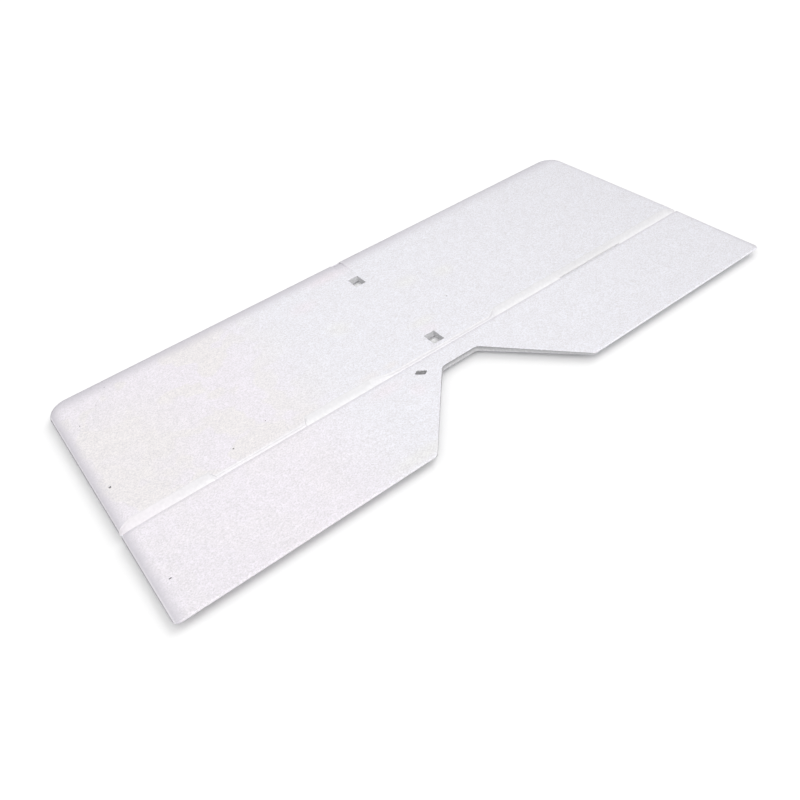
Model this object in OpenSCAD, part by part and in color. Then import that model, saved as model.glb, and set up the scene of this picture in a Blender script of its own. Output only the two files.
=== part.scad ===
// Horizontal tail of a radio-controlled foam aeroplane: a flat stabiliser and a
// two-sided elevator that swings on four thin living hinges moulded along its front.
// +X is the right tip, +Y the leading edge, +Z the upper side. The origin is the
// centre of the planform, on the flat underside. All sizes are in millimetres.

/* [Planform] */
// Tip to tip width of the tail
span = 400; // [340:5:460]
// Leading edge to trailing edge of the whole tail
chord = 182; // [170:1:200]
// Chord of the elevator, from its front face to the trailing edge
elevator_chord = 61.75; // [58:0.25:70]
// Radius of the two front corners
front_corner_r = 12.5; // [6:0.5:18]
// Radius of the four corners on the trailing edge
rear_corner_r = 3.5; // [2:0.5:5]

/* [Section] */
// Thickness of the foam panel
panel_t = 4.5; // [4:0.1:6]
// Thickness left at the trailing edge
tail_edge_t = 1.8; // [1.2:0.1:2.4]
// How far back the rounding of the leading edge reaches
nose_depth = 4; // [2.5:0.5:7]
// How far in the rounding of the tips reaches
tip_depth = 2.5; // [1.5:0.5:5]

/* [Rudder notch] */
// Half width of the notch at the trailing edge
notch_mouth = 55.6; // [48:0.1:62]
// Half width of the notch at the bridge
notch_root = 12.5; // [10:0.5:16]
// Front to back width of the bridge that joins the elevator halves
bridge_chord = 11.75; // [10:0.25:14]
// Radius of the two corners inside the notch
notch_inner_r = 5; // [3:0.5:7]

/* [Living hinges] */
// Thickness of the flexible webs
web_t = 0.8; // [0.6:0.1:1]
// Width of the webs, front to back
web_w = 2.75; // [2.25:0.25:3]
// Width of the groove at the upper face
groove_w = 6.45; // [6:0.05:7]
// Half length of the slit at the centre
centre_slit = 34; // [32:1:38]
// Distance from the centre to the start of the outer slits
outer_slit_start = 94; // [86:1:98]
// Distance from the centre to the end of the outer slits
outer_slit_end = 147; // [140:1:154]
// Gap between the straight stabiliser edge and the elevator at a slit, at the upper face
slit_w = 2.25; // [2.2:0.05:2.6]
// How far the foot of that straight edge stands behind its upper rim
lip_slope = 1.5; // [0.5:0.1:1.6]

/* [Fin seat] */
// Width of the two square-cut holes for the fin tabs
tab_hole_w = 7.4; // [6:0.1:8.5]
// Length of those holes, front to back
tab_hole_l = 10; // [8:0.5:11]
// Distance from the leading edge to the middle of the front hole
front_hole_setback = 29.5; // [26:0.5:34]
// Distance between the middles of the two holes
hole_spacing = 80; // [72:0.5:82]
// Width of the keel channel
channel_w = 7.3; // [6:0.1:8]
// Distance of the channel's middle to the right of the centre line
channel_x = 1.25; // [0:0.25:1.5]
// Length of the channel, from the leading edge to where its floor meets the upper face
channel_l = 22.5; // [18:0.5:23]
// Depth of the channel at the leading edge
channel_depth = 1.4; // [0.8:0.1:1.6]
// Depth of the flat recess behind the rear hole
recess_depth = 0.15; // [0.1:0.05:0.4]

/* [Control horn] */
// Length of the slot for the control horn
horn_slot_l = 6.4; // [5:0.1:7]
// Width of that slot
horn_slot_w = 3.4; // [2.5:0.1:4]
// Distance of the slot from the centre line
horn_slot_x = 24.3; // [22:0.1:30]
// Distance of the slot behind the front face of the elevator
horn_slot_setback = 8.3; // [7.5:0.1:9]
// Angle of the slot to the span
horn_slot_angle = -40; // [-50:1:-30]

/* [Stiffeners] */
// Diameter of the spar rod under the stabiliser
spar_d = 2; // [1.5:0.1:2.2]
// Length of the spar rod
spar_l = 300; // [240:5:320]
// Distance of the spar in front of the planform centre
spar_y = 18; // [10:1:30]
// Diameter of the rod that joins the elevator halves
joiner_d = 1.5; // [1:0.1:1.8]
// Length of the joiner rod
joiner_l = 130; // [110:5:150]
// Distance of the joiner rod behind the front face of the elevator
joiner_setback = 2.6; // [2.2:0.1:3]

/* [Hidden] */

foam_colour = [0.93, 0.93, 0.95];
web_colour = [0.97, 0.97, 0.98];
rod_colour = [0.16, 0.16, 0.17];

half_span = span / 2;
front_y = chord / 2;
rear_y = -chord / 2;
elevator_y = rear_y + elevator_chord;      // front face of the elevator
web_front_y = elevator_y + web_w;          // where the webs leave the stabiliser
groove_y = elevator_y + groove_w;          // upper edge of the hinge groove
lip_y = elevator_y + slit_w;               // upper rim of the straight edge at the slits
lip_foot_y = lip_y - lip_slope;            // foot of that edge
notch_y = elevator_y - bridge_chord;       // rear edge of the bridge
mid_z = panel_t / 2;
bevel_lip = 0.9;                           // webless bevel ends this far in front of the webs
front_hole_y = front_y - front_hole_setback;
rear_hole_y = front_hole_y - hole_spacing;
glue_gap = 0.05;                           // clearance of each rod in its groove
arc_steps = 10;                            // flats in each rounded corner
edge_steps = 16;                           // flats in each rounded edge
over = 1;                                  // how far a cutter runs past a face
left = -1;
right = 1;

function unit(v) = v / norm(v);
function wrap(a) = a > 180 ? a - 360 : a < -180 ? a + 360 : a;

// Points of an arc of radius r that rounds corner p between its neighbours a and b
function fillet(a, p, b, r) =
    let (u = unit(a - p), v = unit(b - p), half = acos(u * v) / 2)
    let (c = p + unit(u + v) * r / sin(half))
    let (from = p + u * r / tan(half) - c, to = p + v * r / tan(half) - c)
    let (a0 = atan2(from[1], from[0]), turn = wrap(atan2(to[1], to[0]) - a0))
    [for (i = [0:arc_steps]) c + r * [cos(a0 + turn * i / arc_steps), sin(a0 + turn * i / arc_steps)]];

// A closed outline from [point, radius] pairs; radius 0 leaves the corner sharp
function outline(corners) =
    let (n = len(corners))
    [for (i = [0:n - 1])
        let (c = corners[i], a = corners[(i + n - 1) % n][0], b = corners[(i + 1) % n][0])
        each (c[1] == 0 ? [c[0]] : fillet(a, c[0], b, c[1]))];

// Half ellipse that ends a section: its tip at x, running depth inwards, t thick about mid_z
function round_end(x, depth, t, side) =
    [for (i = [0:edge_steps]) let (a = -90 + 180 * i / edge_steps)
        [x - side * depth * (1 - cos(a)), mid_z + side * t / 2 * sin(a)]];

// Extrudes a (Y, Z) section along X between x0 and x1
module across(x0, x1) {
    translate([x0, 0, 0]) rotate([90, 0, 90]) linear_extrude(x1 - x0) children();
}

// Extrudes an (X, Z) section along Y over the whole chord
module along() {
    translate([0, front_y + over, 0]) rotate([90, 0, 0]) linear_extrude(chord + 2 * over) children();
}

module box(x0, x1, y0, y1, z0, z1) {
    translate([x0, y0, z0]) cube([x1 - x0, y1 - y0, z1 - z0]);
}

// The rounded tips that the stabiliser and the elevator share
module tip_section() {
    polygon(concat(round_end(half_span, tip_depth, panel_t, right),
                   round_end(-half_span, tip_depth, panel_t, left)));
}

// Stabiliser blank, out to its straight rear edge
module stabiliser_blank() {
    corners = [[[half_span, lip_foot_y], 0], [[half_span, front_y], front_corner_r],
               [[-half_span, front_y], front_corner_r], [[-half_span, lip_foot_y], 0]];
    section = concat([[lip_y, panel_t], [lip_foot_y, 0]],
                     round_end(front_y, nose_depth, panel_t, right));
    intersection() {
        linear_extrude(panel_t) polygon(outline(corners));
        across(-half_span, half_span) polygon(section);
        along() tip_section();
    }
}

// Cuts the sloping rear face of the stabiliser, down to z0 at y0, and all behind it
module bevel_cut(x0, x1, y0, z0) {
    back = lip_foot_y - over;
    across(x0, x1) polygon([[groove_y, panel_t], [y0, z0], [y0, -over], [back, -over],
                            [back, panel_t + over], [groove_y, panel_t + over]]);
}

// Keel channel: its floor slopes down from the upper face to the leading edge
module keel_channel() {
    start = front_y - channel_l;
    fall = channel_depth / channel_l;
    across(channel_x - channel_w / 2, channel_x + channel_w / 2)
        polygon([[start, panel_t], [front_y + over, panel_t - channel_depth - fall * over],
                 [front_y + over, panel_t + over], [start, panel_t + over]]);
}

// Flat recess in the upper face between the rear hole and the hinge line
module keel_recess() {
    box(-tab_hole_w / 2, tab_hole_w / 2, lip_foot_y - over, rear_hole_y,
        panel_t - recess_depth, panel_t + over);
}

module tab_hole(y) {
    box(-tab_hole_w / 2, tab_hole_w / 2, y - tab_hole_l / 2, y + tab_hole_l / 2, -over, panel_t + over);
}

// Groove in the underside that holds a rod
module rod_groove(y, d, l) {
    w = d + 2 * glue_gap;
    box(-l / 2 - glue_gap, l / 2 + glue_gap, y - w / 2, y + w / 2, -over, rod_z(d) + w / 2);
}

// Height of a rod's axis: the rod lies just inside its groove
function rod_z(d) = d / 2 + 3 * glue_gap;

module rod(y, d, l) {
    color(rod_colour) translate([-l / 2, y, rod_z(d)]) rotate([0, 90, 0]) cylinder(h = l, d = d, $fn = 32);
}

module stabiliser_panel() {
    slope = (panel_t - web_t) / (groove_y - web_front_y);
    color(foam_colour) difference() {
        stabiliser_blank();
        for (side = [left, right]) {
            bevel_cut(min(side * centre_slit, side * outer_slit_start),
                      max(side * centre_slit, side * outer_slit_start), web_front_y, web_t);
            bevel_cut(min(side * outer_slit_end, side * (half_span + over)),
                      max(side * outer_slit_end, side * (half_span + over)), web_front_y, web_t);
        }
        bevel_cut(outer_slit_start, outer_slit_end, web_front_y + bevel_lip, web_t + bevel_lip * slope);
        tab_hole(front_hole_y);
        tab_hole(rear_hole_y);
        keel_channel();
        keel_recess();
        rod_groove(spar_y, spar_d, spar_l);
    }
}

module stabiliser_spar() {
    rod(spar_y, spar_d, spar_l);
}

// Flexible web between x0 and x1, from the stabiliser to the elevator
module hinge_web(x0, x1) {
    color(web_colour) intersection() {
        box(x0, x1, elevator_y, web_front_y, 0, web_t);
        along() tip_section();
    }
}

// The whole elevator: tapered section, rudder notch, rounded corners
module elevator_blank() {
    corners = [[[half_span, elevator_y], 0], [[-half_span, elevator_y], 0],
               [[-half_span, rear_y], rear_corner_r], [[-notch_mouth, rear_y], rear_corner_r],
               [[-notch_root, notch_y], notch_inner_r], [[notch_root, notch_y], notch_inner_r],
               [[notch_mouth, rear_y], rear_corner_r], [[half_span, rear_y], rear_corner_r]];
    section = concat([[elevator_y, 0], [elevator_y, panel_t]],
                     round_end(rear_y, tail_edge_t / 2, tail_edge_t, left));
    intersection() {
        linear_extrude(panel_t) polygon(outline(corners));
        across(-half_span, half_span) polygon(section);
        along() tip_section();
    }
}

// The part of the elevator between x0 and x1, with the groove for the joiner rod
module elevator_part(x0, x1) {
    difference() {
        intersection() {
            elevator_blank();
            box(x0, x1, rear_y - over, elevator_y + over, -over, panel_t + over);
        }
        rod_groove(elevator_y - joiner_setback, joiner_d, joiner_l);
    }
}

module horn_slot() {
    translate([-horn_slot_x, elevator_y - horn_slot_setback, mid_z]) rotate([0, 0, horn_slot_angle])
        cube([horn_slot_l, horn_slot_w, panel_t + 2 * over], center = true);
}

module elevator_left() {
    color(foam_colour) difference() {
        elevator_part(-half_span - over, -notch_root);
        horn_slot();
    }
}

module elevator_bridge() {
    color(foam_colour) elevator_part(-notch_root, notch_root);
}

module elevator_right() {
    color(foam_colour) elevator_part(notch_root, half_span + over);
}

module elevator_joiner() {
    rod(elevator_y - joiner_setback, joiner_d, joiner_l);
}

stabiliser_panel();
stabiliser_spar();
hinge_web(-half_span, -outer_slit_end);  // hinge_web_outer_left
hinge_web(-outer_slit_start, -centre_slit);  // hinge_web_inner_left
hinge_web(centre_slit, outer_slit_start);  // hinge_web_inner_right
hinge_web(outer_slit_end, half_span);  // hinge_web_outer_right
elevator_left();
elevator_bridge();
elevator_right();
elevator_joiner();
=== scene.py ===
"""Looks of a foam model aeroplane's horizontal tail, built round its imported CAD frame.

The shape code works in millimetres, in the frame's axes: +X right tip, +Y leading
edge, +Z upper side. Skin.make() turns it into metres.
"""
import math

import bmesh
import bpy
import numpy as np
from mathutils import Matrix, Vector, geometry


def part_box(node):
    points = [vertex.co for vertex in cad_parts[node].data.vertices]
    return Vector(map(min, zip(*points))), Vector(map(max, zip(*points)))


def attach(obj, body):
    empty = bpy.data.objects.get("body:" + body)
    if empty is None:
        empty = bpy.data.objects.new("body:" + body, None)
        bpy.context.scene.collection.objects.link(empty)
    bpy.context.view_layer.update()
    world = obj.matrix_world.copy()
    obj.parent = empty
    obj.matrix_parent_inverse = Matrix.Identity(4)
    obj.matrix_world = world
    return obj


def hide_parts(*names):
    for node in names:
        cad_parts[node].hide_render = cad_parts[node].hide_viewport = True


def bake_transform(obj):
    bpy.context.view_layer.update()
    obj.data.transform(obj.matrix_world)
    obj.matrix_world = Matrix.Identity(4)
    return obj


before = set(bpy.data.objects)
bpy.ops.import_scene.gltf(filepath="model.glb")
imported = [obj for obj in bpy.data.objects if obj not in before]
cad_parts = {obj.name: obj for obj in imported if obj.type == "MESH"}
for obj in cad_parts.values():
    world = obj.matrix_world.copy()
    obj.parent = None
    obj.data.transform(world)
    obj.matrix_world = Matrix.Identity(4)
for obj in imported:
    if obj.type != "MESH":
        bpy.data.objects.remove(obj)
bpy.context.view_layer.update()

MM = 0.001


def box_mm(node):
    """Lowest and highest corner of a CAD node, in millimetres."""
    return [np.array(corner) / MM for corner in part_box(node)]


# ---- camera and light

CAMERA_TARGET = (-0.0438, -0.04337, 0.0)
CAMERA_AZIMUTH, CAMERA_ELEVATION, CAMERA_ROLL = -30.4247, 43.03, -9.1775
CAMERA_DISTANCE = 0.42308
CAMERA_LENS, CAMERA_SENSOR = 35.071, 36  # millimetres


def direction(azimuth, elevation):
    """Unit vector in degrees; azimuth 0 points behind the tail, 90 to its right."""
    a, e = math.radians(azimuth), math.radians(elevation)
    return Vector((math.sin(a) * math.cos(e), -math.cos(a) * math.cos(e), math.sin(e)))


def make_camera():
    """Places the camera behind and to the left of the tail, looking down at it."""
    back = direction(CAMERA_AZIMUTH, CAMERA_ELEVATION)
    roll = math.radians(CAMERA_ROLL)
    level = (-back).cross(Vector((0, 0, 1))).normalized()
    upward = back.cross(level)
    right = math.cos(roll) * level + math.sin(roll) * upward
    up = math.cos(roll) * upward - math.sin(roll) * level
    camera = bpy.data.objects.new("camera", bpy.data.cameras.new("camera"))
    camera.data.lens = CAMERA_LENS
    camera.data.sensor_width = CAMERA_SENSOR
    camera.data.clip_start = 0.01
    turn = Matrix((right, up, back)).transposed().to_4x4()
    turn.translation = Vector(CAMERA_TARGET) + CAMERA_DISTANCE * back
    camera.matrix_world = turn
    bpy.context.collection.objects.link(camera)
    bpy.context.scene.camera = camera


def hang(name, lamp, place, turn, lights, blocked_by):
    """Adds a light that falls on one collection, and is stopped by blocked_by alone if given."""
    light = bpy.data.objects.new(name, lamp)
    light.location = place
    light.rotation_euler = turn.to_euler()
    bpy.context.collection.objects.link(light)
    light.light_linking.receiver_collection = lights
    if blocked_by:
        light.light_linking.blocker_collection = blocked_by


def area_light(name, place, aim, size, watts, lights, blocked_by=None):
    """A soft square light at place, facing aim."""
    lamp = bpy.data.lights.new(name, "AREA")
    lamp.shape = "SQUARE"
    lamp.size = size
    lamp.energy = watts
    turn = (Vector(aim) - Vector(place)).to_track_quat("-Z", "Y")
    hang(name, lamp, place, turn, lights, blocked_by)


def sky_light(name, azimuth, elevation, spread_deg, strength, lights, blocked_by=None):
    """A wide distant light from the given direction."""
    lamp = bpy.data.lights.new(name, "SUN")
    lamp.angle = math.radians(spread_deg)
    lamp.energy = strength
    turn = direction(azimuth, elevation).to_track_quat("Z", "Y")
    hang(name, lamp, (0, 0, 0), turn, lights, blocked_by)


WORLD_STRENGTH = 0.30
FLOOR_Z = -0.0015  # the tail bows up a little, clear of the floor
FLOOR_HALF = 3.0  # metres
FLOOR_WHITE = (0.93, 0.93, 0.93, 1)
# small lights on the floor under the tab holes, in metres and watts
GLOW_SIDE, GLOW_HEIGHT, GLOW_WATTS = 0.006, 0.0005, 1e-4
GLOW_SHIFT = 0.6  # mm past the front right corner of each hole


def make_studio(tail_set, floor_set):
    """White surroundings, soft light on the tail and on the floor, and a pale floor."""
    world = bpy.data.worlds.new("studio")
    world.use_nodes = True
    sky = world.node_tree.nodes["Background"]
    sky.inputs["Color"].default_value = (1, 1, 1, 1)
    sky.inputs["Strength"].default_value = WORLD_STRENGTH
    bpy.context.scene.world = world
    bpy.context.scene.view_settings.view_transform = "Standard"

    sky_light("over_tail", 35, 62, 60, 1.15, tail_set)
    area_light("above_tail", (-0.1, -0.04, 0.7), (-0.1, -0.02, 0), 0.5, 2.65, tail_set)
    sky_light("through_tail", -25, 22, 30, 1.15, tail_set, floor_set)
    sky_light("over_floor", 112, 36, 45, 1.05, floor_set)
    sky_light("floor_fill", 0, 88, 160, 1.9, floor_set)
    sky_light("floor_glow", 0, 90, 40, 0.16, floor_set, floor_set)
    for number, hole_y in enumerate(HOLES):
        x, y = (HOLE_HALF_W + GLOW_SHIFT) * MM, (hole_y + HOLE_HALF_L + GLOW_SHIFT) * MM
        area_light(f"hole_glow_{number}", (x, y, GLOW_HEIGHT), (x, y, FLOOR_Z), GLOW_SIDE,
                   GLOW_WATTS, floor_set, floor_set)

    mesh = bpy.data.meshes.new("floor")
    corners = [(x * FLOOR_HALF, y * FLOOR_HALF, 0) for x, y in ((-1, -1), (1, -1), (1, 1), (-1, 1))]
    mesh.from_pydata(corners, [], [(0, 1, 2, 3)])
    floor = bpy.data.objects.new("floor", mesh)
    floor.location.z = FLOOR_Z
    floor_set.objects.link(floor)
    paint = Paint("floor_white", 0.9, 0.1)
    paint.colour(FLOOR_WHITE)
    mesh.materials.append(paint.material)


# ---- materials


class Paint:
    """A node material, with short helpers for the nodes it uses most."""

    def __init__(self, name, roughness, specular):
        self.material = bpy.data.materials.new(name)
        self.material.use_nodes = True
        self.tree = self.material.node_tree
        self.shader = self.tree.nodes["Principled BSDF"]
        self.fill(self.shader, Specular_IOR_Level=specular, Roughness=roughness)
        self.place = self.add("ShaderNodeTexCoord").outputs["Object"]

    def add(self, kind, **settings):
        node = self.tree.nodes.new(kind)
        for name, value in settings.items():
            setattr(node, name, value)
        return node

    def put(self, socket, value):
        """Sets an input socket; an output socket is linked to it, a value is stored."""
        if isinstance(value, bpy.types.NodeSocket):
            self.tree.links.new(value, socket)
        else:
            socket.default_value = value

    def fill(self, node, **values):
        """Sets a node's inputs by name."""
        for name, value in values.items():
            self.put(node.inputs[name.replace("_", " ")], value)

    def noise(self, size_mm, detail=2.0, stretch=None):
        """Noise from 0 to 1, with features about size_mm wide."""
        node, vector = self.add("ShaderNodeTexNoise"), self.place
        if stretch:
            scaled = self.add("ShaderNodeVectorMath", operation="MULTIPLY")
            self.put(scaled.inputs[0], vector)
            self.put(scaled.inputs[1], stretch)
            vector = scaled.outputs[0]
        self.fill(node, Vector=vector, Scale=1 / (size_mm * MM), Detail=detail)
        return node.outputs["Fac"]

    def axes(self):
        """The X, Y and Z of each point, in metres."""
        split = self.add("ShaderNodeSeparateXYZ")
        self.put(split.inputs[0], self.place)
        return split.outputs

    def cells(self, size_mm):
        """Distance to the edge of Voronoi cells about size_mm wide."""
        node = self.add("ShaderNodeTexVoronoi", feature="DISTANCE_TO_EDGE")
        self.fill(node, Vector=self.place, Scale=1 / (size_mm * MM))
        return node.outputs["Distance"]

    def shades(self, size_mm):
        """A random value from 0 to 1 in each cell about size_mm wide."""
        node = self.add("ShaderNodeTexVoronoi", feature="F1")
        self.fill(node, Vector=self.place, Scale=1 / (size_mm * MM))
        split = self.add("ShaderNodeSeparateColor")
        self.put(split.inputs[0], node.outputs["Color"])
        return split.outputs[0]

    def ramp(self, value, low, high, to_low=0.0, to_high=1.0):
        """Maps value from low..high to to_low..to_high, smoothly and clamped."""
        node = self.add("ShaderNodeMapRange", interpolation_type="SMOOTHSTEP")
        self.fill(node, Value=value, From_Min=low, From_Max=high, To_Min=to_low, To_Max=to_high)
        return node.outputs[0]

    def sum(self, *weighted):
        """Adds up (weight, value) pairs."""
        total = 0.0
        for weight, value in weighted:
            node = self.add("ShaderNodeMath", operation="MULTIPLY_ADD")
            for socket, content in zip(node.inputs, (value, weight, total)):
                self.put(socket, content)
            total = node.outputs[0]
        return total

    def mix(self, factor, first, second):
        """Blends two colours; each is a tuple or an output socket."""
        node = self.add("ShaderNodeMix", data_type="RGBA")
        self.put(node.inputs["Factor"], factor)
        for socket, colour in ((node.inputs[6], first), (node.inputs[7], second)):
            self.put(socket, (*colour, 1) if isinstance(colour, tuple) else colour)
        return node.outputs[2]

    def near(self, centre_mm, radii_mm):
        """1 inside an ellipsoid round centre, fading to 0 at its skin."""
        node = self.add("ShaderNodeMapping", vector_type="POINT")
        radii = [r * MM for r in radii_mm]
        self.fill(node, Vector=self.place, Scale=[1 / r for r in radii],
                  Location=[-c * MM / r for c, r in zip(centre_mm, radii)])
        length = self.add("ShaderNodeVectorMath", operation="LENGTH")
        self.put(length.inputs[0], node.outputs[0])
        return self.ramp(length.outputs["Value"], 0.1, 1.0, 1.0, 0.0)

    def bump(self, height, depth_mm):
        node = self.add("ShaderNodeBump")
        self.fill(node, Height=height, Distance=depth_mm * MM, Strength=1.0)
        self.fill(self.shader, Normal=node.outputs[0])

    def colour(self, value):
        self.fill(self.shader, Base_Color=value)

    def roughness(self, value):
        self.fill(self.shader, Roughness=value)

    def glow(self, weight):
        """Light scattered about a millimetre under the surface."""
        self.fill(self.shader, Subsurface_Weight=weight, Subsurface_Scale=1 * MM)


COOL, LILAC, WARM = (0.800, 0.804, 0.860), (0.832, 0.788, 0.852), (0.820, 0.786, 0.782)
PINK, STRAW = (0.856, 0.772, 0.836), (0.810, 0.812, 0.780)
# the second colour on the next line is painted shade for the skin beside the outer edges and the
# hinge
SPECKLE, EDGE_SHADE = (0.62, 0.603, 0.62), (0.56, 0.54, 0.58)
# on the next line: a painted highlight for the left tip's rim, and painted shade for the tip walls
RIM_HIGHLIGHT, TIP_WALL_SHADE = (0.90, 0.88, 0.91), (0.30, 0.29, 0.31)

# colour, centre, reach (mm) and strength of the faint casts in the foam
CASTS = [(WARM, (-88, -20, 4), (14, 5, 9), 0.6), (WARM, (-48, -21, 4), (12, 5, 9), 0.7),
         (WARM, (-33, -21, 4), (7, 4, 9), 0.7), (PINK, (3, -10, 4), (9, 7, 9), 0.5),
         (WARM, (-172, 25, 4), (50, 62, 20), 0.8), (PINK, (-12, 80, 4), (26, 9, 9), 0.8),
         (PINK, (-47, -36, 4), (17, 7, 9), 0.6), (PINK, (-34, -47, 4), (7, 8, 9), 0.5),
         (PINK, (-40, 62, 4), (14, 9, 9), 0.5), (STRAW, (22, 38, 4), (13, 9, 9), 0.6),
         (STRAW, (46, 30, 4), (12, 9, 9), 0.6), (STRAW, (4, -2, 4), (14, 6, 9), 0.7),
         (STRAW, (-36, 28, 4), (11, 11, 9), 0.6), (STRAW, (-60, -86, 4), (30, 7, 9), 0.7)]


def edge_shade_share(p):
    """Share of painted shade in the skin beside the tips, the leading edge and the hinge."""
    x, y, _ = p.axes()
    wander = p.noise(14.0, 1.0)
    across = p.sum((1.0, x), (2 * MM, wander))
    left = p.ramp(across, -TIP * MM, (9 - TIP) * MM, 1.0, 0.0)
    right = p.ramp(across, (TIP - 4) * MM, (TIP + 1.5) * MM)
    forward = p.sum((1.0, y), (2 * MM, wander))
    strength = p.ramp(x, 0.0, 100 * MM, 1.0, 0.65)
    nose = p.ramp(forward, (FRONT - 13.5) * MM, (FRONT - 2) * MM, 0.0, strength)
    behind = p.ramp(y, ELEVATOR_FRONT * MM, (ELEVATOR_FRONT + 0.4) * MM, 0.5, 0.0)
    hinge = p.ramp(y, (ELEVATOR_FRONT - 2.4) * MM, (ELEVATOR_FRONT - 0.8) * MM, 0.0, behind)
    return p.sum((1.2, left), (0.7, right), (0.9, nose), (1.0, hinge))


def foam_paint():
    """Moulded bead foam: fine speckle, lilac and warm casts, a soft matt skin, with painted shade
    beside the outer edges, the hinge and on the tip walls, and a painted highlight along the left
    tip's rim.
    """
    p = Paint("foam_white", 0.8, 0.25)
    x, y, _ = p.axes()
    on_panel = p.ramp(y, -34 * MM, -22 * MM, 0.2, 1.0)
    blotch = p.ramp(p.noise(26, 2.0), 0.48, 0.53, 0.0, on_panel)
    leftwards = p.ramp(x, -110 * MM, -50 * MM, 1.0, 0.0)
    tone = p.mix(leftwards, COOL, p.mix(blotch, LILAC, WARM))
    for colour, centre, reach, strength in CASTS:
        tone = p.mix(p.sum((strength, p.near(centre, reach))), tone, colour)
    speckle = p.shades(0.62)
    grain = p.noise(0.85, 1.0)
    mottle = p.noise(6.0, 2.0)
    dark = p.sum((0.5, speckle), (0.4, p.ramp(grain, 0.3, 0.7)), (0.1, p.ramp(mottle, 0.3, 0.7)))
    skin = p.mix(dark, tone, SPECKLE)
    # painted shade: the skin greys beside the tips, the leading edge and the hinge
    skin = p.mix(edge_shade_share(p), skin, EDGE_SHADE)
    # painted highlight along the left tip's rim
    left_rim_highlight = p.ramp(x, (0.6 - TIP) * MM, (1.2 - TIP) * MM, 0.35, 0.0)
    skin = p.mix(left_rim_highlight, skin, RIM_HIGHLIGHT)
    # painted shade on the walls of both tips
    left_wall_shade = p.ramp(x, (0.1 - TIP) * MM, (0.5 - TIP) * MM, 1.0, 0.0)
    right_wall_shade = p.ramp(x, (TIP - 0.5) * MM, (TIP - 0.1) * MM)
    p.colour(p.mix(p.sum((0.8, left_wall_shade), (0.8, right_wall_shade)), skin, TIP_WALL_SHADE))
    p.roughness(p.ramp(mottle, 0.25, 0.75, 0.72, 0.88))
    domes = p.ramp(p.cells(2.1), 0.0, 0.5)
    p.bump(p.sum((0.35, domes), (0.5, grain), (0.3, speckle)), 0.15)
    p.glow(0.1)
    p.fill(p.shader, Subsurface_Radius=(1.0, 0.95, 0.9))
    return p.material


def pressed_lit_paint(name, head, root_tone, low=0.5, high=3.6, lean=0.0, fades=()):
    """Foam pressed smooth by the mould, toned by height as painted light: the brighter root_tone
    below the height low, head above high.

    Both heights fall to the right by lean times x. Fades are centres, reaches and colours.
    """
    p = Paint(name, 0.6, 0.3)
    grain = p.noise(1.6, 2.0)
    x, _, z = p.axes()
    level = p.sum((1.0, z), (lean, x))
    root = p.ramp(level, low * MM, high * MM, 1.0, 0.0)
    tone = p.mix(root, head, root_tone)
    for centre, reach, colour in fades:
        tone = p.mix(p.near(centre, reach), tone, colour)
    dark = p.sum((0.1, p.ramp(grain, 0.3, 0.7)), (0.06, p.shades(1.1)))
    p.colour(p.mix(dark, tone, (0.4, 0.39, 0.41)))
    p.roughness(p.ramp(grain, 0.3, 0.7, 0.5, 0.7))
    p.bump(grain, 0.08)
    return p.material


def dark_foam_paint(name, deep, pale, rim_shade=0.0):
    """Walls through the foam: dull beads in two tones, darker than the skin as painted shade, with
    more painted shade towards the upper rim.
    """
    p = Paint(name, 0.95, 0.1)
    beads = p.cells(1.9)
    light = p.sum((0.6, p.ramp(beads, 0.0, 0.4)), (0.4, p.noise(0.8, 3.0)))
    _, _, z = p.axes()
    shade = p.sum((rim_shade, p.ramp(z, 0.3 * MM, THICK * MM)))
    p.colour(p.mix(shade, p.mix(light, deep, pale), (0.16, 0.16, 0.165)))
    p.bump(p.ramp(beads, 0.0, 0.5), 0.3)
    return p.material


def web_paint():
    """Foam pressed thin and smooth, a little brighter and glossier than the panel."""
    p = Paint("foam_web", 0.55, 0.35)
    strain = p.noise(3.0, 3.0, stretch=(0.35, 1.6, 1.6))
    p.colour(p.mix(p.ramp(strain, 0.3, 0.7), (0.83, 0.82, 0.84), (0.78, 0.77, 0.80)))
    p.roughness(p.ramp(strain, 0.3, 0.7, 0.45, 0.65))
    p.bump(p.sum((0.7, strain), (0.3, p.noise(0.5, 2.0))), 0.06)
    p.glow(0.2)
    return p.material


def rod_paint():
    """Pultruded fibre rod: dark, with fine bright fibres along its length."""
    p = Paint("carbon_rod", 0.38, 0.5)
    fibres = p.noise(0.16, 3.0, stretch=(0.015, 1.0, 1.0))
    streaks = p.noise(0.5, 2.0, stretch=(0.03, 1.0, 1.0))
    both = p.sum((0.6, fibres), (0.4, streaks))
    p.colour(p.mix(p.ramp(both, 0.35, 0.68), (0.012, 0.012, 0.014), (0.075, 0.077, 0.083)))
    p.roughness(p.ramp(both, 0.3, 0.7, 0.28, 0.52))
    p.bump(fibres, 0.02)
    return p.material


def glue_paint():
    """Clear foam glue, dried to a faint amber."""
    p = Paint("foam_glue", 0.25, 0.5)
    cloud = p.noise(3.0, 3.0)
    p.colour(p.mix(cloud, (0.80, 0.77, 0.66), (0.72, 0.66, 0.50)))
    p.roughness(p.ramp(p.noise(1.2, 2.0), 0.3, 0.7, 0.15, 0.4))
    p.bump(cloud, 0.15)
    p.glow(0.35)
    return p.material


# ---- mesh helpers

SHARP_ANGLE = math.radians(42)
SKIN, PRESSED_LIT, EDGE, HOLE, WALL, SLOT, PIT = range(7)  # paints of a foam piece


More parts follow.
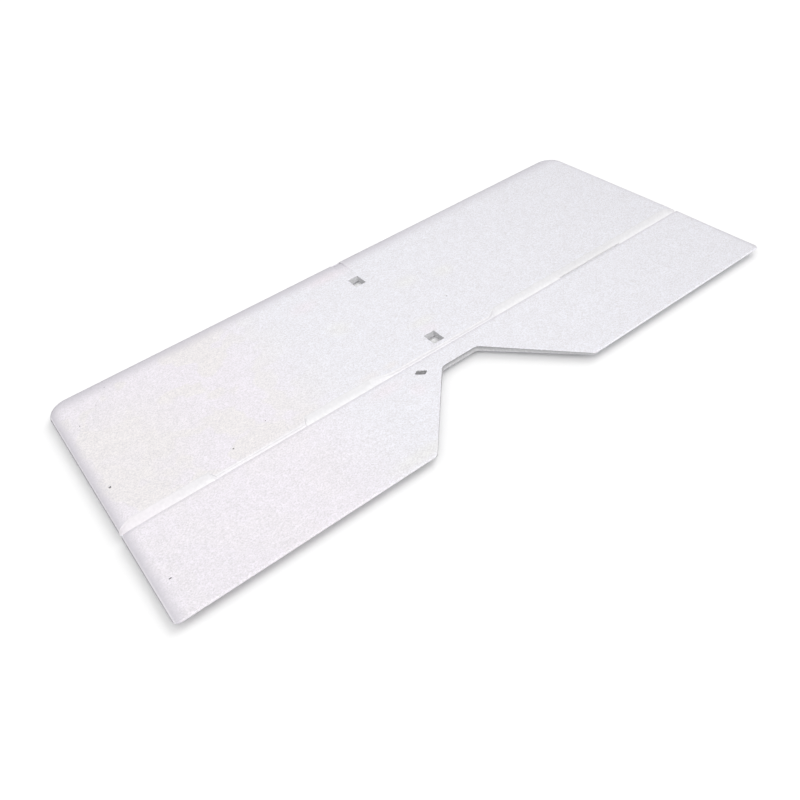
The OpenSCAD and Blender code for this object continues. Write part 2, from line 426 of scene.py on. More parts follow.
class Skin:
    """Collects the vertices and faces of one piece, in millimetres."""

    def __init__(self):
        self.points, self.faces, self.paint_of, self.count = [], [], [], 0

    def add(self, points):
        """Stores an array of points and returns their numbers in the same arrangement."""
        points = np.asarray(points, float)
        numbers = self.count + np.arange(points[..., 0].size).reshape(points.shape[:-1])
        self.points.append(points.reshape(-1, 3))
        self.count += numbers.size
        return numbers

    def face(self, corners, paint=0):
        self.faces.append([int(c) for c in corners])
        self.paint_of.append(paint)

    def sheet(self, n, keep=None, paint=0):
        """Quads over a grid of point numbers; keep and paint may be grids of one value a quad."""
        quads = np.stack([n[:-1, :-1], n[1:, :-1], n[1:, 1:], n[:-1, 1:]], -1)
        keep = np.ones(quads.shape[:2], bool) if keep is None else keep
        self.faces.extend(quads[keep].tolist())
        self.paint_of.extend(np.broadcast_to(paint, keep.shape)[keep].tolist())

    def band(self, first, second, paint=0):
        """Quads between two rows of point numbers."""
        self.sheet(np.stack([first, second]), paint=paint)

    def slab(self, x, y, high, low, rear_paint=SKIN):
        """A closed plate between two heights over a grid; its last row has rear_paint."""
        top, bottom = self.add(xyz(x, y, high)), self.add(xyz(x, y, low))
        self.sheet(top)
        self.sheet(bottom)
        for edge in (np.s_[0, :], np.s_[-1, :], np.s_[:, 0]):
            self.band(top[edge], bottom[edge])
        self.band(top[:, -1], bottom[:, -1], rear_paint)

    def make(self, name, paints, body=None, node=None):
        """The finished object in metres, welded and with its normals outwards."""
        mesh = bpy.data.meshes.new(name)
        mesh.from_pydata((np.concatenate(self.points) * MM).tolist(), [], self.faces)
        mesh.polygons.foreach_set("material_index", self.paint_of)
        bm = bmesh.new()
        bm.from_mesh(mesh)
        bmesh.ops.remove_doubles(bm, verts=bm.verts, dist=0.004 * MM)
        bmesh.ops.dissolve_degenerate(bm, edges=bm.edges, dist=0.0005 * MM)
        unused = [v for v in bm.verts if not v.link_faces]
        bmesh.ops.delete(bm, geom=unused, context="VERTS")
        bmesh.ops.recalc_face_normals(bm, faces=bm.faces)
        bm.to_mesh(mesh)
        bm.free()
        mesh.shade_smooth()
        mesh.set_sharp_from_angle(angle=SHARP_ANGLE)
        for paint in paints:
            mesh.materials.append(paint)
        piece = bpy.data.objects.new(name, mesh)
        tail_set.objects.link(piece)
        if body:
            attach(piece, body)
        if node:
            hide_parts(node)
        return piece


def xyz(x, y, z):
    """Points from three coordinates, each a number or a grid."""
    return np.stack(np.broadcast_arrays(x, y, z), -1)


def smooth(t):
    t = np.clip(t, 0, 1)
    return t * t * (3 - 2 * t)


def spread(first, last, step):
    """Evenly spaced values from first to last, about step apart, both ends kept."""
    return np.linspace(first, last, max(2, int(round(abs(last - first) / step)) + 1))


def nearest(values, target):
    """Number of the value closest to target."""
    return int(np.argmin(np.abs(values - target)))


def joined(*runs):
    """One rising list of values; values closer than 0.01 mm are taken as one."""
    values = np.sort(np.concatenate([np.atleast_1d(np.asarray(r, float)) for r in runs]))
    keep = np.concatenate([[True], np.diff(values) > 0.01])
    return values[keep]


def ripple(x, y, size, seed):
    """Gentle seeded waves of about the given wavelength, between -1 and 1."""
    rng = np.random.default_rng(seed)
    total = 0
    for _ in range(7):
        turn, phase = rng.uniform(0, 2 * math.pi, 2)
        wave = 2 * math.pi / (size * rng.uniform(0.7, 1.6))
        total = total + np.sin(wave * (x * math.cos(turn) + y * math.sin(turn)) + phase)
    return total / 7


def bulge(distance, depth):
    """Height of a half ellipse, 0 at its tip and 1 from depth inwards."""
    t = np.clip(distance / depth, 0, 1)
    return np.sqrt(np.clip(1 - (1 - t) ** 2, 0, 1))


def corner_bulge(cx, cy, radius, end_depth):
    """Bulge round a corner's arc; its depth goes from the tip's to the one of the other edge."""
    turn = np.arctan2(np.clip(cy, 0, None), np.clip(cx, 1e-9, None)) / (math.pi / 2)
    return bulge(radius - np.hypot(cx, cy), TIP_DEPTH + (end_depth - TIP_DEPTH) * turn)


def rim_drop(distance, radius):
    """How far a rounded rim has dropped at a distance in from its face."""
    return radius * (1 - bulge(distance, radius))


# ---- sizes

panel_lo, panel_hi = box_mm("stabiliser_panel")
left_lo, left_hi = box_mm("elevator_left")
bridge_lo, bridge_hi = box_mm("elevator_bridge")
web_lo, web_hi = box_mm("hinge_web_inner_right")
outer_lo, _ = box_mm("hinge_web_outer_right")

TIP = panel_hi[0]  # half span
FRONT = panel_hi[1]  # leading edge
THICK = panel_hi[2]  # panel thickness
MID = THICK / 2
LIP_SLOPE = 1.5  # how far the straight lip's foot stands behind its rim
LIP = panel_lo[1] + LIP_SLOPE  # upper rim of the stabiliser's straight edge, at the slits
WEB_FRONT = web_hi[1]  # where the webs leave the stabiliser
WEB_TOP = web_hi[2]
ELEVATOR_FRONT = left_hi[1]
REAR = left_lo[1]  # trailing edge
BRIDGE_REAR = bridge_lo[1]
BRIDGE_SIDE = bridge_hi[0]
SLIT_CENTRE = web_lo[0]  # the centre slit runs from -SLIT_CENTRE to here
SLIT_FROM, SLIT_TO = web_hi[0], outer_lo[0]

GROOVE = WEB_FRONT + THICK - WEB_TOP  # upper rim of the hinge groove
FRONT_CORNER, REAR_CORNER, NOTCH_CORNER = 12.5, 3.5, 5.0
NOSE_DEPTH, TIP_DEPTH = 4.0, 2.5
TAIL_HALF = 0.9  # half thickness at the trailing edge
NOTCH_MOUTH = 55.6
SHORT_BEVEL = 0.9  # the webless bevel ends this far in front of the webs
HOLE_HALF_W, HOLE_HALF_L = 3.7, 5.0
HOLES = (61.5, -18.5)  # centres of the two fin tab holes
CHANNEL_LEFT, CHANNEL_RIGHT = -2.4, 4.9
CHANNEL_WALL = 0.6  # plan width of its sloping walls
CHANNEL_DEPTH = 1.1  # at the leading edge
CHANNEL_END = 68.5  # where its floor meets the upper face
CREASE_DEPTH = 0.45  # of the crease along its left wall
RECESS_DEPTH = 0.15  # of the flat recess behind the rear hole
RIM = 0.3  # rounding of the edges of holes and walls
FLASH = 0.12  # height of the moulding's parting line
CROWN_DROP, CROWN_REACH = 0.7, 8.0  # depth and width of the faces' fall beside outer edges
ELEVATOR_CROWN = 0.7  # the elevator's share of that depth


# ---- stabiliser

# ends and height of the low moulded ridges beside the horn slot and at the channel's end
RIDGES = [((-20.6, -37.4), (-16.4, -36.0), 0.22), ((-16.4, -38.0), (-14.2, -40.4), 0.14),
          ((-30.2, -36.0), (-28.4, -34.6), 0.08), ((-27.2, -32.9), (-24.0, -33.4), 0.08),
          ((-2.7, 79.0), (-1.9, 68.8), 0.28)]


def ridge_height(x, y):
    total = np.zeros(np.broadcast(x, y).shape)
    for (x0, y0), (x1, y1), height in RIDGES:
        length = math.hypot(x1 - x0, y1 - y0)
        ux, uy = (x1 - x0) / length, (y1 - y0) / length
        along = np.clip((x - x0) * ux + (y - y0) * uy, 0, length)
        away = np.hypot(x - x0 - along * ux, y - y0 - along * uy)
        total = np.maximum(total, height * (1 - smooth(away / 0.75)))
    return total


# x, y, radius and depth of the small pits that moulding leaves
PITS = [(-192.4, 4.2, 1.25, 0.5), (-131.6, -16.2, 0.8, 0.3), (-188.8, 60.0, 0.6, 0.2),
        (-175.4, 70.4, 0.5, 0.2), (-166.0, 82.0, 0.5, 0.2), (30.6, 7.2, 0.6, 0.25),
        (-108.6, -9.8, 0.5, 0.2), (94.2, -80.0, 0.6, 0.25), (-169.6, -80.0, 0.7, 0.25),
        (-191.6, -67.8, 0.6, 0.2)]


def pit_depth(x, y):
    depth = np.zeros(np.broadcast(x, y).shape)
    for px, py, radius, deep in PITS:
        depth = np.maximum(depth, deep * (1 - smooth(np.hypot(x - px, y - py) / radius)))
    return depth


def face_paint(points):
    """Paint of each quad over a grid of points: dark in the middle of a pit, skin elsewhere."""
    middle = (points[:-1, :-1] + points[1:, 1:]) / 2
    dark = np.zeros(middle.shape[:2], bool)
    for px, py, radius, _ in PITS:
        dark |= np.hypot(middle[..., 0] - px, middle[..., 1] - py) < 0.5 * radius + 0.05
    return np.where(dark, PIT, SKIN)


def front_edge(x):
    """Y of the leading edge, corners included."""
    past = np.clip(np.abs(x) - (TIP - FRONT_CORNER), 0, FRONT_CORNER)
    return FRONT - FRONT_CORNER + np.sqrt(FRONT_CORNER ** 2 - past ** 2)


def stabiliser_half(x, y):
    """Share of the full half thickness that the rounded nose, tips and corners leave."""
    flat = np.minimum(bulge(TIP - np.abs(x), TIP_DEPTH), bulge(FRONT - y, NOSE_DEPTH))
    cx, cy = np.abs(x) - (TIP - FRONT_CORNER), y - (FRONT - FRONT_CORNER)
    corner = corner_bulge(cx, cy, FRONT_CORNER, NOSE_DEPTH)
    return np.where((cx > 0) & (cy > 0), corner, flat)


def hole_rims(x, y):
    """How far the rounded rims of the two tab holes have dropped."""
    drop = 0
    for cy in HOLES:
        away = np.hypot(np.clip(np.abs(x) - HOLE_HALF_W, 0, None),
                        np.clip(np.abs(y - cy) - HOLE_HALF_L, 0, None))
        drop = drop + rim_drop(away, RIM)
    return drop


def channel_depth(x, y):
    """Depth of the keel channel in front of the front hole, with the crease at its left wall."""
    run = np.clip((y - CHANNEL_END) / (FRONT - CHANNEL_END), 0, 1)
    walls = smooth((x - CHANNEL_LEFT) / CHANNEL_WALL) * smooth((CHANNEL_RIGHT - x) / CHANNEL_WALL)
    crease = 1 - smooth(np.abs(x - CHANNEL_LEFT - 0.45) / 0.4)
    return CHANNEL_DEPTH * run ** 0.8 * walls + CREASE_DEPTH * np.sqrt(run) * crease


def crown_drop(distance):
    """How far a face has sunk beside an outer edge, before the edge's own rounding."""
    return CROWN_DROP * (1 - np.clip(distance / CROWN_REACH, 0, 1)) ** 2


def stabiliser_top(x, y):
    z = MID + MID * stabiliser_half(x, y)
    edge = np.minimum(TIP - np.abs(x), front_edge(x) - y)
    z = z - crown_drop(edge) * bulge(edge, NOSE_DEPTH)
    z = z + 0.05 * ripple(x, y, 42, 1) + 0.025 * ripple(x, y, 12, 2)
    behind = smooth((HOLES[1] - HOLE_HALF_L - 0.5 - y) / 0.8) * smooth((4.5 - np.abs(x)) / 0.5)
    z = z - hole_rims(x, y) - channel_depth(x, y) - RECESS_DEPTH * behind - pit_depth(x, y)
    return z + ridge_height(x, y)


def stabiliser_bottom(x, y):
    z = MID - MID * stabiliser_half(x, y) + 0.03 + 0.03 * ripple(x, y, 38, 3) + hole_rims(x, y)
    return SPAR.roof_over(x, y, z)


class Groove:
    """Square groove in the underside that holds a rod along X."""

    GAP = 0.05

    def __init__(self, node):
        lo, hi = box_mm(node)
        self.y = (lo[1] + hi[1]) / 2
        self.half = (hi[1] - lo[1]) / 2 + self.GAP
        self.end = hi[0] + self.GAP
        self.roof = hi[2] + self.GAP

    def roof_over(self, x, y, z):
        inside = (np.abs(y - self.y) < self.half + 0.01) & (np.abs(x) < self.end + 0.01)
        return np.where(inside, self.roof, z)

    def rows(self):
        return [self.y + side * (self.half + d) for side in (-1, 1) for d in (0, 0.03)]


SPAR, JOINER = Groove("stabiliser_spar"), Groove("elevator_joiner")

STEP = 0.12  # half width of the steps where a slit starts or ends
LEAF = 8.0  # length over which the groove runs out at each tip
# lengths over which it turns into the lips: left and right of the centre slit, at the outer one
LEFT_FADE, RIGHT_FADE, OUTER_FADE = 17.0, 9.0, 2.5
FLAT_START = 0.7  # where the rear face's profile meets the flat faces
WALL_POINTS = 9
# the least lip share painted as a lip: in the middle, and at the outer slit
INNER_LIP_FROM, OUTER_LIP_FROM = 0.02, 0.2


def zone(x):
    """Kind of rear face at x: full bevel, straight lip or short bevel."""
    ax = abs(x)
    if ax < SLIT_CENTRE or (x < 0 and SLIT_FROM < ax < SLIT_TO):
        return "lip"
    return "short" if SLIT_FROM < ax < SLIT_TO else "bevel"


def rim_line(x):
    """Y of the groove's upper rim; it swings back to the web line at the tips."""
    out = np.clip((abs(x) - (TIP - LEAF)) / LEAF, 0, 1)
    return GROOVE + (WEB_FRONT - GROOVE) * out ** 1.6


def lip_share(x):
    """How far the bevel has turned into the straight lip at x, from 0 to 1."""
    ax = abs(x)
    shares = [1 - (ax - SLIT_CENTRE) / (LEFT_FADE if x < 0 else RIGHT_FADE)]
    if x < 0:
        shares.append(1 - (SLIT_FROM - ax if ax < SLIT_FROM else ax - SLIT_TO) / OUTER_FADE)
    return max(smooth(share) for share in shares)


def lip_profile():
    """(y, z) points up the straight lip, whose foot stands LIP_SLOPE behind its rim."""
    foot = [(FLAT_START, 0.0), (0.25, 0.02), (0.06, 0.1), (0.0, 0.3)]
    wall = [(0.0, z) for z in np.linspace(0.5, THICK - 0.4, WALL_POINTS)]
    head = [(0.02, THICK - 0.22), (0.08, THICK - 0.09), (0.2, THICK - 0.02),
            (0.36, THICK), (FLAT_START, THICK)]
    points = np.array(foot + wall + head)
    points[:, 0] += LIP - LIP_SLOPE * (1 - points[:, 1] / THICK) * (points[:, 0] < 0.3)
    return points


def bevel_profile(x):
    """(y, z) points up the bevel in front of a hinge web."""
    back = SHORT_BEVEL if zone(x) == "short" else 0.0
    base, low, rim = WEB_FRONT + back, WEB_TOP + back, rim_line(x)
    run, rise = rim - base, THICK - low
    foot = [(base + FLAT_START, 0.0), (base + 0.15, 0.03), (base, 0.15), (base, low - 0.12)]
    slope = [(base + run * t, low + rise * t - 0.22 * math.sin(math.pi * t))
             for t in np.linspace(0.02, 0.93, WALL_POINTS)]
    head = [(rim - 0.03 * run, THICK - 0.055 * rise), (rim + 0.05, THICK - 0.02 * rise),
            (rim + 0.16, THICK - 0.006 * rise), (rim + 0.34, THICK),
            (rim + FLAT_START, THICK)]
    return np.array(foot + slope + head)


def rear_profile(x):
    """(y, z) points up the stabiliser's rear face at x."""
    if zone(x) == "lip":
        return lip_profile()
    bevel = bevel_profile(x)
    share = lip_share(x) * (bevel[:, 1] > WEB_TOP)
    return bevel + (lip_profile() - bevel) * share[:, None]


def tip_stations(depth):
    """Distances in from a rounded edge, close together where it curves most."""
    return depth * (1 - np.cos(np.radians(np.arange(0, 91, 9))))


PIT_OFFSETS = np.array([-1, -0.5, 0, 0.5, 1])  # rows and columns over a pit, in radii
RIM_OFFSETS = np.array([0, 0.03, 0.1, 0.18, 0.3])  # rows and columns over a rounded rim
REAR_BLEND, CORNER_BLEND = -11.0, 70.0  # rows between these two are straight


def stabiliser_columns():
    half = [spread(0, TIP - FRONT_CORNER, 1.7), spread(TIP - FRONT_CORNER, TIP - TIP_DEPTH, 0.7),
            TIP - tip_stations(TIP_DEPTH), [SPAR.end, SPAR.end + 0.03], HOLE_HALF_W + RIM_OFFSETS]
    half += [[e - 0.6, e - STEP, e + STEP, e + 0.6] for e in (SLIT_CENTRE, SLIT_FROM, SLIT_TO)]
    half += [spread(SLIT_CENTRE, SLIT_CENTRE + LEFT_FADE, 0.9),
             spread(SLIT_FROM - OUTER_FADE, SLIT_FROM, 0.5),
             spread(SLIT_TO, SLIT_TO + OUTER_FADE, 0.5)]
    half = joined(*half)
    walls = np.linspace(-0.05, CHANNEL_WALL, 8)
    pits = [px + radius * PIT_OFFSETS for px, py, radius, _ in PITS if py > LIP]
    return joined(-half, half, CHANNEL_LEFT + walls, CHANNEL_RIGHT - walls, *pits)


def stabiliser_rows():
    """Y of the rows over the flat faces at the centre line, from the rear forwards."""
    rows = [spread(LIP + FLAT_START, FRONT - NOSE_DEPTH, 1.7), SPAR.rows()]
    rows += [cy + side * (HOLE_HALF_L + RIM_OFFSETS) for cy in HOLES for side in (-1, 1)]
    rows.append(FRONT - tip_stations(NOSE_DEPTH))
    rows += [py + radius * PIT_OFFSETS for _, py, radius, _ in PITS if py > LIP]
    return joined(*rows)


def row_places(xs, rows, start):
    """Y of every row in every column, when the rows of column x begin at start."""
    y = np.tile(rows, (len(xs), 1))
    near = rows < REAR_BLEND
    share = (rows[near] - rows[0]) / (REAR_BLEND - rows[0])
    y[:, near] = start[:, None] + (REAR_BLEND - start)[:, None] * share
    far = rows > CORNER_BLEND
    share = (rows[far] - CORNER_BLEND) / (FRONT - CORNER_BLEND)
    y[:, far] = CORNER_BLEND + (front_edge(xs)[:, None] - CORNER_BLEND) * share
    return y


def flash_out(points):
    """Pushes a nose or tip edge out a little, as the moulding's parting line."""
    x, y = points[..., 0], points[..., 1]
    cx = np.sign(x) * np.clip(np.abs(x) - (TIP - FRONT_CORNER), 0, None)
    cy = np.clip(y - (FRONT - FRONT_CORNER), 0, None)
    size = np.maximum(np.hypot(cx, cy), 1e-6)
    points[..., 0] += FLASH * cx / size
    points[..., 1] += FLASH * cy / size


def walls_round(skin, top, bottom, i0, i1, j0, j1):
    """The four walls of a square hole between two grids of point numbers."""
    for n in (np.s_[i0:i1 + 1, j0], np.s_[i0:i1 + 1, j1], np.s_[i0, j0:j1 + 1],
              np.s_[i1, j0:j1 + 1]):
        skin.band(top[n], bottom[n], HOLE)


def stabiliser_mesh(paints):
    xs, rows = stabiliser_columns(), stabiliser_rows()
    profile = np.array([rear_profile(x) for x in xs])
    x = xs[:, None]
    y_top = row_places(xs, rows, profile[:, -1, 0])
    y_bottom = row_places(xs, rows, profile[:, 0, 0])
    top = xyz(x, y_top, stabiliser_top(x, y_top))
    bottom = xyz(x, y_bottom, stabiliser_bottom(x, y_bottom))
    top[:, -1, 2] = bottom[:, -1, 2] = np.where(
        channel_depth(xs, np.full_like(xs, FRONT)) > 0.01, MID - 0.02, MID)
    for end in (0, -1):
        top[end, :, 2] = bottom[end, :, 2] = MID
    for grid in (top, bottom):
        flash_out(grid[:, -1])
        flash_out(grid[0])
        flash_out(grid[-1])

    skin = Skin()
    t, b = skin.add(top), skin.add(bottom)
    x_mid = (xs[:-1] + xs[1:]) / 2
    y_mid = (rows[:-1] + rows[1:]) / 2
    keep = np.ones((len(x_mid), len(y_mid)), bool)
    for cy in HOLES:
        keep &= ~((np.abs(x_mid) < HOLE_HALF_W)[:, None] & (np.abs(y_mid - cy) < HOLE_HALF_L))
    skin.sheet(t, keep, face_paint(top))
    skin.sheet(b, keep)
    for cy in HOLES:
        i0, i1 = (nearest(xs, s * HOLE_HALF_W) for s in (-1, 1))
        j0, j1 = (nearest(rows, cy + s * HOLE_HALF_L) for s in (-1, 1))
        walls_round(skin, t, b, i0, i1, j0, j1)

    y, height = profile[..., 0], profile[..., 1]
    low, high = stabiliser_bottom(x, y), stabiliser_top(x, y)
    rear = xyz(x, y, low + (high - low) * height / THICK)
    rear[:, 0], rear[:, -1] = bottom[:, 0], top[:, 0]
    for end in (0, -1):
        rear[end, :, 2] = MID
        rear[end, 1, 1] = rear[end, -2, 1]          # at the tips its foot and its head meet
        rear[end, -4:-2, 1] = rear[end, 2, 1]
        flash_out(rear[end, 1:-1])
    middle = np.abs(x_mid) < SLIT_FROM - OUTER_FADE
    starts = np.where(middle, INNER_LIP_FROM, OUTER_LIP_FROM)
    lip = np.array([zone(x) == "lip" or lip_share(x) > start for x, start in zip(x_mid, starts)])
    skin.sheet(skin.add(rear), paint=np.where(lip, EDGE, PRESSED_LIT)[:, None])
    return skin.make("stabiliser_foam", paints, "stabiliser", "stabiliser_panel")


# ---- elevator

DIAGONAL = np.array([NOTCH_MOUTH - BRIDGE_SIDE, REAR - BRIDGE_REAR])
DIAGONAL = DIAGONAL / np.hypot(*DIAGONAL)
ACROSS = np.array([-DIAGONAL[1], DIAGONAL[0]])  # points into the foam, away from the notch


def fillet_centre(corner, first, second, radius):
    """Centre of the arc that rounds a corner between two unit directions."""
    half = math.acos(float(np.dot(first, second))) / 2
    middle = (first + second) / np.hypot(*(first + second))
    return corner + middle * radius / math.sin(half)


INNER_ARC = fillet_centre(np.array([BRIDGE_SIDE, BRIDGE_REAR]), np.array([-1.0, 0.0]),
                          DIAGONAL, NOTCH_CORNER)
MOUTH_ARC = fillet_centre(np.array([NOTCH_MOUTH, REAR]), -DIAGONAL, np.array([1.0, 0.0]),
                          REAR_CORNER)
TIP_ARC = np.array([TIP - REAR_CORNER, REAR + REAR_CORNER])
INNER_TOP = INNER_ARC[1] + math.sqrt(NOTCH_CORNER ** 2 - (BRIDGE_SIDE - INNER_ARC[0]) ** 2)


def arc_reach(offset, radius):
    return np.sqrt(np.clip(radius ** 2 - offset ** 2, 0, None))


def inner_edge(y):
    """Distance from the centre line to an elevator half's inner edge, at y."""
    straight = BRIDGE_SIDE + (y - BRIDGE_REAR) * DIAGONAL[0] / DIAGONAL[1]
    inner = INNER_ARC[0] + arc_reach(y - INNER_ARC[1], NOTCH_CORNER)
    mouth = MOUTH_ARC[0] - arc_reach(y - MOUTH_ARC[1], REAR_CORNER)
    x = np.where(y > INNER_ARC[1] + NOTCH_CORNER * ACROSS[1], inner, straight)
    x = np.where(y < MOUTH_ARC[1] - REAR_CORNER * ACROSS[1], mouth, x)
    return np.where(y > INNER_TOP, BRIDGE_SIDE, x)


def outer_edge(y):
    """Distance from the centre line to the tip, at y."""
    past = np.clip(TIP_ARC[1] - y, 0, REAR_CORNER)
    return TIP_ARC[0] + np.where(past > 0, arc_reach(past, REAR_CORNER), REAR_CORNER)


def notch_distance(ax, y):
    """Distance from the rudder notch's edge."""
    diagonal = (ax - BRIDGE_SIDE) * ACROSS[0] + (y - BRIDGE_REAR) * ACROSS[1]
    cx, cy = ax - INNER_ARC[0], y - INNER_ARC[1]
    round_corner = np.hypot(cx, cy) - NOTCH_CORNER
    beyond = cx * DIAGONAL[0] + cy * DIAGONAL[1] > 0
    return np.where(beyond, diagonal, np.where(cx < 0, y - BRIDGE_REAR, round_corner))


def elevator_half(x, y):
    """Half thickness of the elevator, with its rounded tips, tail and rims."""
    ax = np.abs(x)
    run = np.clip((ELEVATOR_FRONT - y) / (ELEVATOR_FRONT - REAR - TAIL_HALF), 0, 1)
    full = MID + (TAIL_HALF - MID) * run
    tip = bulge(TIP - ax, TIP_DEPTH)
    tail = full * np.minimum(bulge(y - REAR, TAIL_HALF), tip)
    tx, ty = ax - TIP_ARC[0], TIP_ARC[1] - y
    corner = full * corner_bulge(tx, ty, REAR_CORNER, TAIL_HALF)
    half = np.where((tx > 0) & (ty > 0), corner, tail)
    half = half - rim_drop(ELEVATOR_FRONT - y, RIM) * tip

    walled = half - rim_drop(notch_distance(ax, y), RIM)
    mx, my = MOUTH_ARC[0] - ax, MOUTH_ARC[1] - y
    in_mouth = (my > 0) & (mx > 0) & (mx * ACROSS[1] < my * ACROSS[0])
    part = np.arctan2(mx, np.maximum(my, 1e-9)) / math.atan2(ACROSS[0], ACROSS[1])
    inward = REAR_CORNER - np.hypot(mx, my)
    mouth = part * (full - rim_drop(inward, RIM)) + (1 - part) * full * bulge(inward, TAIL_HALF)
    past_mouth = (my > 0) & (mx <= 0)
    return np.where(in_mouth, mouth, np.where(past_mouth, half, walled))


def elevator_top(x, y):
    z = MID + elevator_half(x, y)
    z = z - crown_drop(TIP - np.abs(x)) * bulge(TIP - np.abs(x), TIP_DEPTH) * ELEVATOR_CROWN
    z = z + 0.05 * ripple(x, y, 36, 4) + 0.02 * ripple(x, y, 11, 5)
    return z + ridge_height(x, y) - pit_depth(x, y)


def elevator_bottom(x, y):
    z = MID - elevator_half(x, y) + 0.03 + 0.03 * ripple(x, y, 34, 6)
    return JOINER.roof_over(x, y, z)


SLOT_CENTRE, SLOT_ANGLE = (-24.3, -37.55), math.radians(-40)
SLOT_HALF_L, SLOT_HALF_W, SLOT_CORNER = 3.0, 1.65, 0.9
SLOT_SLANT = 0.3  # its ends lean to the right
SLOT_RINGS = (0.9, 0.3, 0.18, 0.08, 0.02, 0.0)  # offsets of the rings of points round it
SLOT_BLOCK_Y = (-33.3, -41.9)  # the slot is cut in a block of these rows
SLOT_BLOCK_X = (-5.2, 5.2)  # and of these columns, counted from its centre


def slot_ring(offset):
    """Points round the horn slot, offset outwards."""
    ring = []
    for k, (sx, sy) in enumerate(((1, 1), (-1, 1), (-1, -1), (1, -1))):
        cx, cy = sx * (SLOT_HALF_L - SLOT_CORNER), sy * (SLOT_HALF_W - SLOT_CORNER)
        for a in np.radians(np.arange(0, 91, 15) + 90 * k):
            radius = SLOT_CORNER + offset
            ring.append((cx + radius * math.cos(a), cy + radius * math.sin(a)))
    ring = np.array(ring)
    ring[:, 0] += SLOT_SLANT * ring[:, 1]
    c, s = math.cos(SLOT_ANGLE), math.sin(SLOT_ANGLE)
    return np.stack([SLOT_CENTRE[0] + c * ring[:, 0] - s * ring[:, 1],
                     SLOT_CENTRE[1] + s * ring[:, 0] + c * ring[:, 1]], -1)


def inside(point, polygon):
    """True if a point lies inside a closed polygon."""
    x, y = point
    x0, y0 = polygon[:, 0], polygon[:, 1]
    x1, y1 = np.roll(x0, -1), np.roll(y0, -1)
    crosses = (y0 > y) != (y1 > y)
    with np.errstate(divide="ignore", invalid="ignore"):
        at = x0 + (y - y0) * (x1 - x0) / (y1 - y0)
    return bool(np.count_nonzero(crosses & (x < at)) % 2)


def loop_of(n, i0, i1, j0, j1):
    """The numbers round the edge of a block of a grid."""
    return np.concatenate([n[i0:i1, j0], n[i1, j0:j1], n[i1:i0:-1, j1], n[i0, j1:j0:-1]])


def pierce_slot(skin, grids, heights, block):
    """Joins a block's edge to the horn slot on both faces, and adds the slot's wall."""
    i0, i1, j0, j1 = block
    wall = []
    for n, points, height, sign in zip(*grids, heights, (-1, 1)):
        edge = loop_of(n, i0, i1, j0, j1)
        outline = loop_of(points, i0, i1, j0, j1)[:, :2]
        rings = []
        for offset in SLOT_RINGS:
            ring = slot_ring(offset)
            z = height(ring[:, 0], ring[:, 1]) + sign * rim_drop(offset, RIM)
            rings.append(skin.add(np.column_stack([ring, z])))
        first = slot_ring(SLOT_RINGS[0])
        flat = np.concatenate([outline, first])
        count = len(outline)
        ties = [(k, (k + 1) % count) for k in range(count)]
        ties += [(count + k, count + (k + 1) % len(first)) for k in range(len(first))]
        made = geometry.delaunay_2d_cdt([Vector(p) for p in flat], ties, [], 0, 1e-6, True)
        back = [ids[0] for ids in made[3]]
        numbers = np.concatenate([edge, rings[0]])
        for face in made[2]:
            centre = sum((made[0][k] for k in face), Vector((0, 0))) / len(face)
            if inside(centre, outline) and not inside(centre, first):
                skin.face([numbers[back[k]] for k in face])
        for a, b in zip(rings, rings[1:]):
            skin.band(np.append(a, a[0]), np.append(b, b[0]))
        wall.append(np.append(rings[-1], rings[-1][0]))
    skin.band(*wall, paint=SLOT)


FINE_ROWS_TO = -46.0  # the rows are closer together in front of this, round the horn slot
BRIDGE_BLEND = -38.0  # the bridge's rows in front of this one are straight


def elevator_rows():
    """Y of the rows from the elevator's front face to the trailing edge."""
    rows = [ELEVATOR_FRONT - RIM_OFFSETS, spread(ELEVATOR_FRONT - 0.8, FINE_ROWS_TO, 0.9),
            spread(FINE_ROWS_TO, REAR + 4, 1.6), JOINER.rows(),
            spread(REAR + 4, REAR + TAIL_HALF, 0.45), REAR + tip_stations(TAIL_HALF),
            BRIDGE_REAR + np.array([0, -0.3, INNER_TOP - BRIDGE_REAR])]
    rows += [py + radius * PIT_OFFSETS for _, py, radius, _ in PITS if py < LIP]
    return joined(*rows)[::-1]


